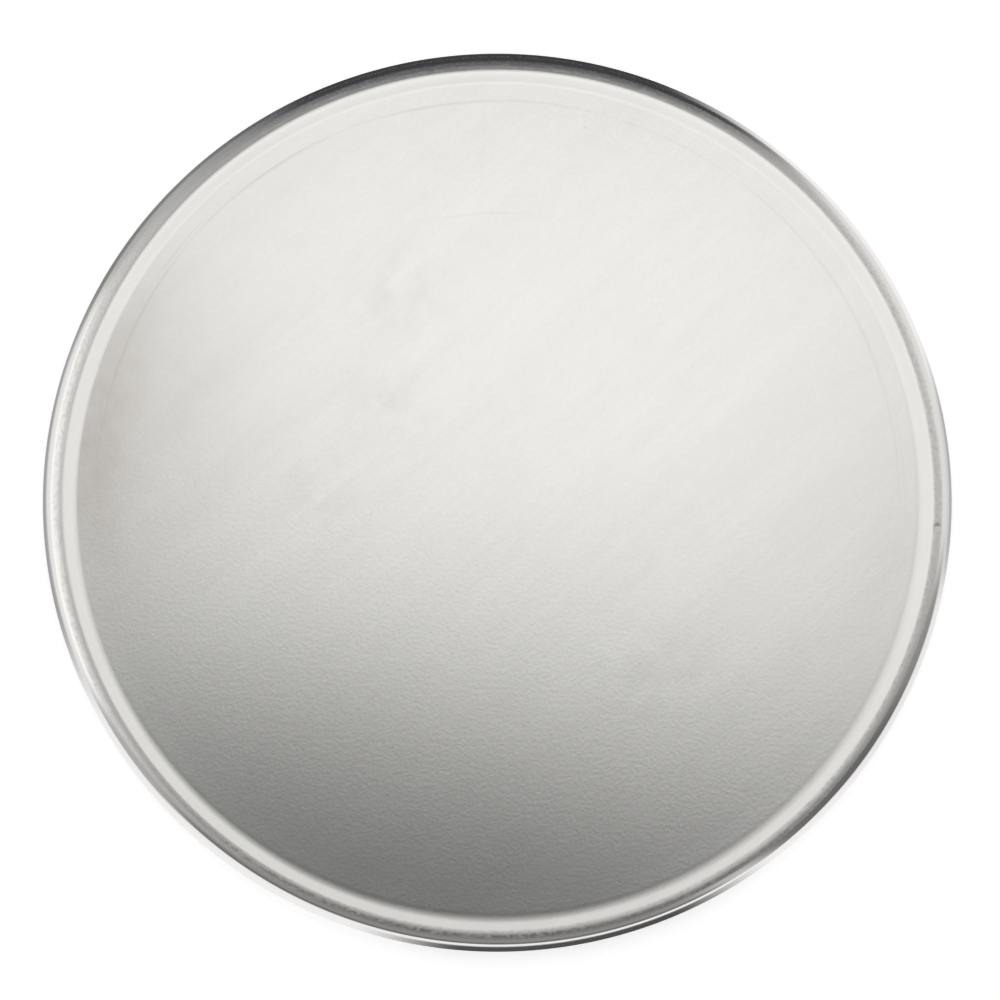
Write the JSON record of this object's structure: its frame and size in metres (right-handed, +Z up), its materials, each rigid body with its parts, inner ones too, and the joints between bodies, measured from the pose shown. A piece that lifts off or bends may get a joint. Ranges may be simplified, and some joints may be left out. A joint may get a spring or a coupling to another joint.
{
  "type": "pizza pan",
  "caption": "Flat round aluminium pizza pan with a gently raised flange, a rolled-down rim and a bead stiffened by a wire.",
  "frame": {"origin": "centre of the pan on the surface that it stands on", "axes": "+Z up along the pan's axis; +X to the right and +Y to the top of the picture"},
  "size_m": [0.3048, 0.3048, 0.0098],
  "materials": {
    "sheet": "satin, mill finish with a burnished rim",
    "wire": "galvanised, dull"
  },
  "bodies": {
    "root": {"pan": "sheet", "rim_wire": "wire"}
  },
  "joints": []
}
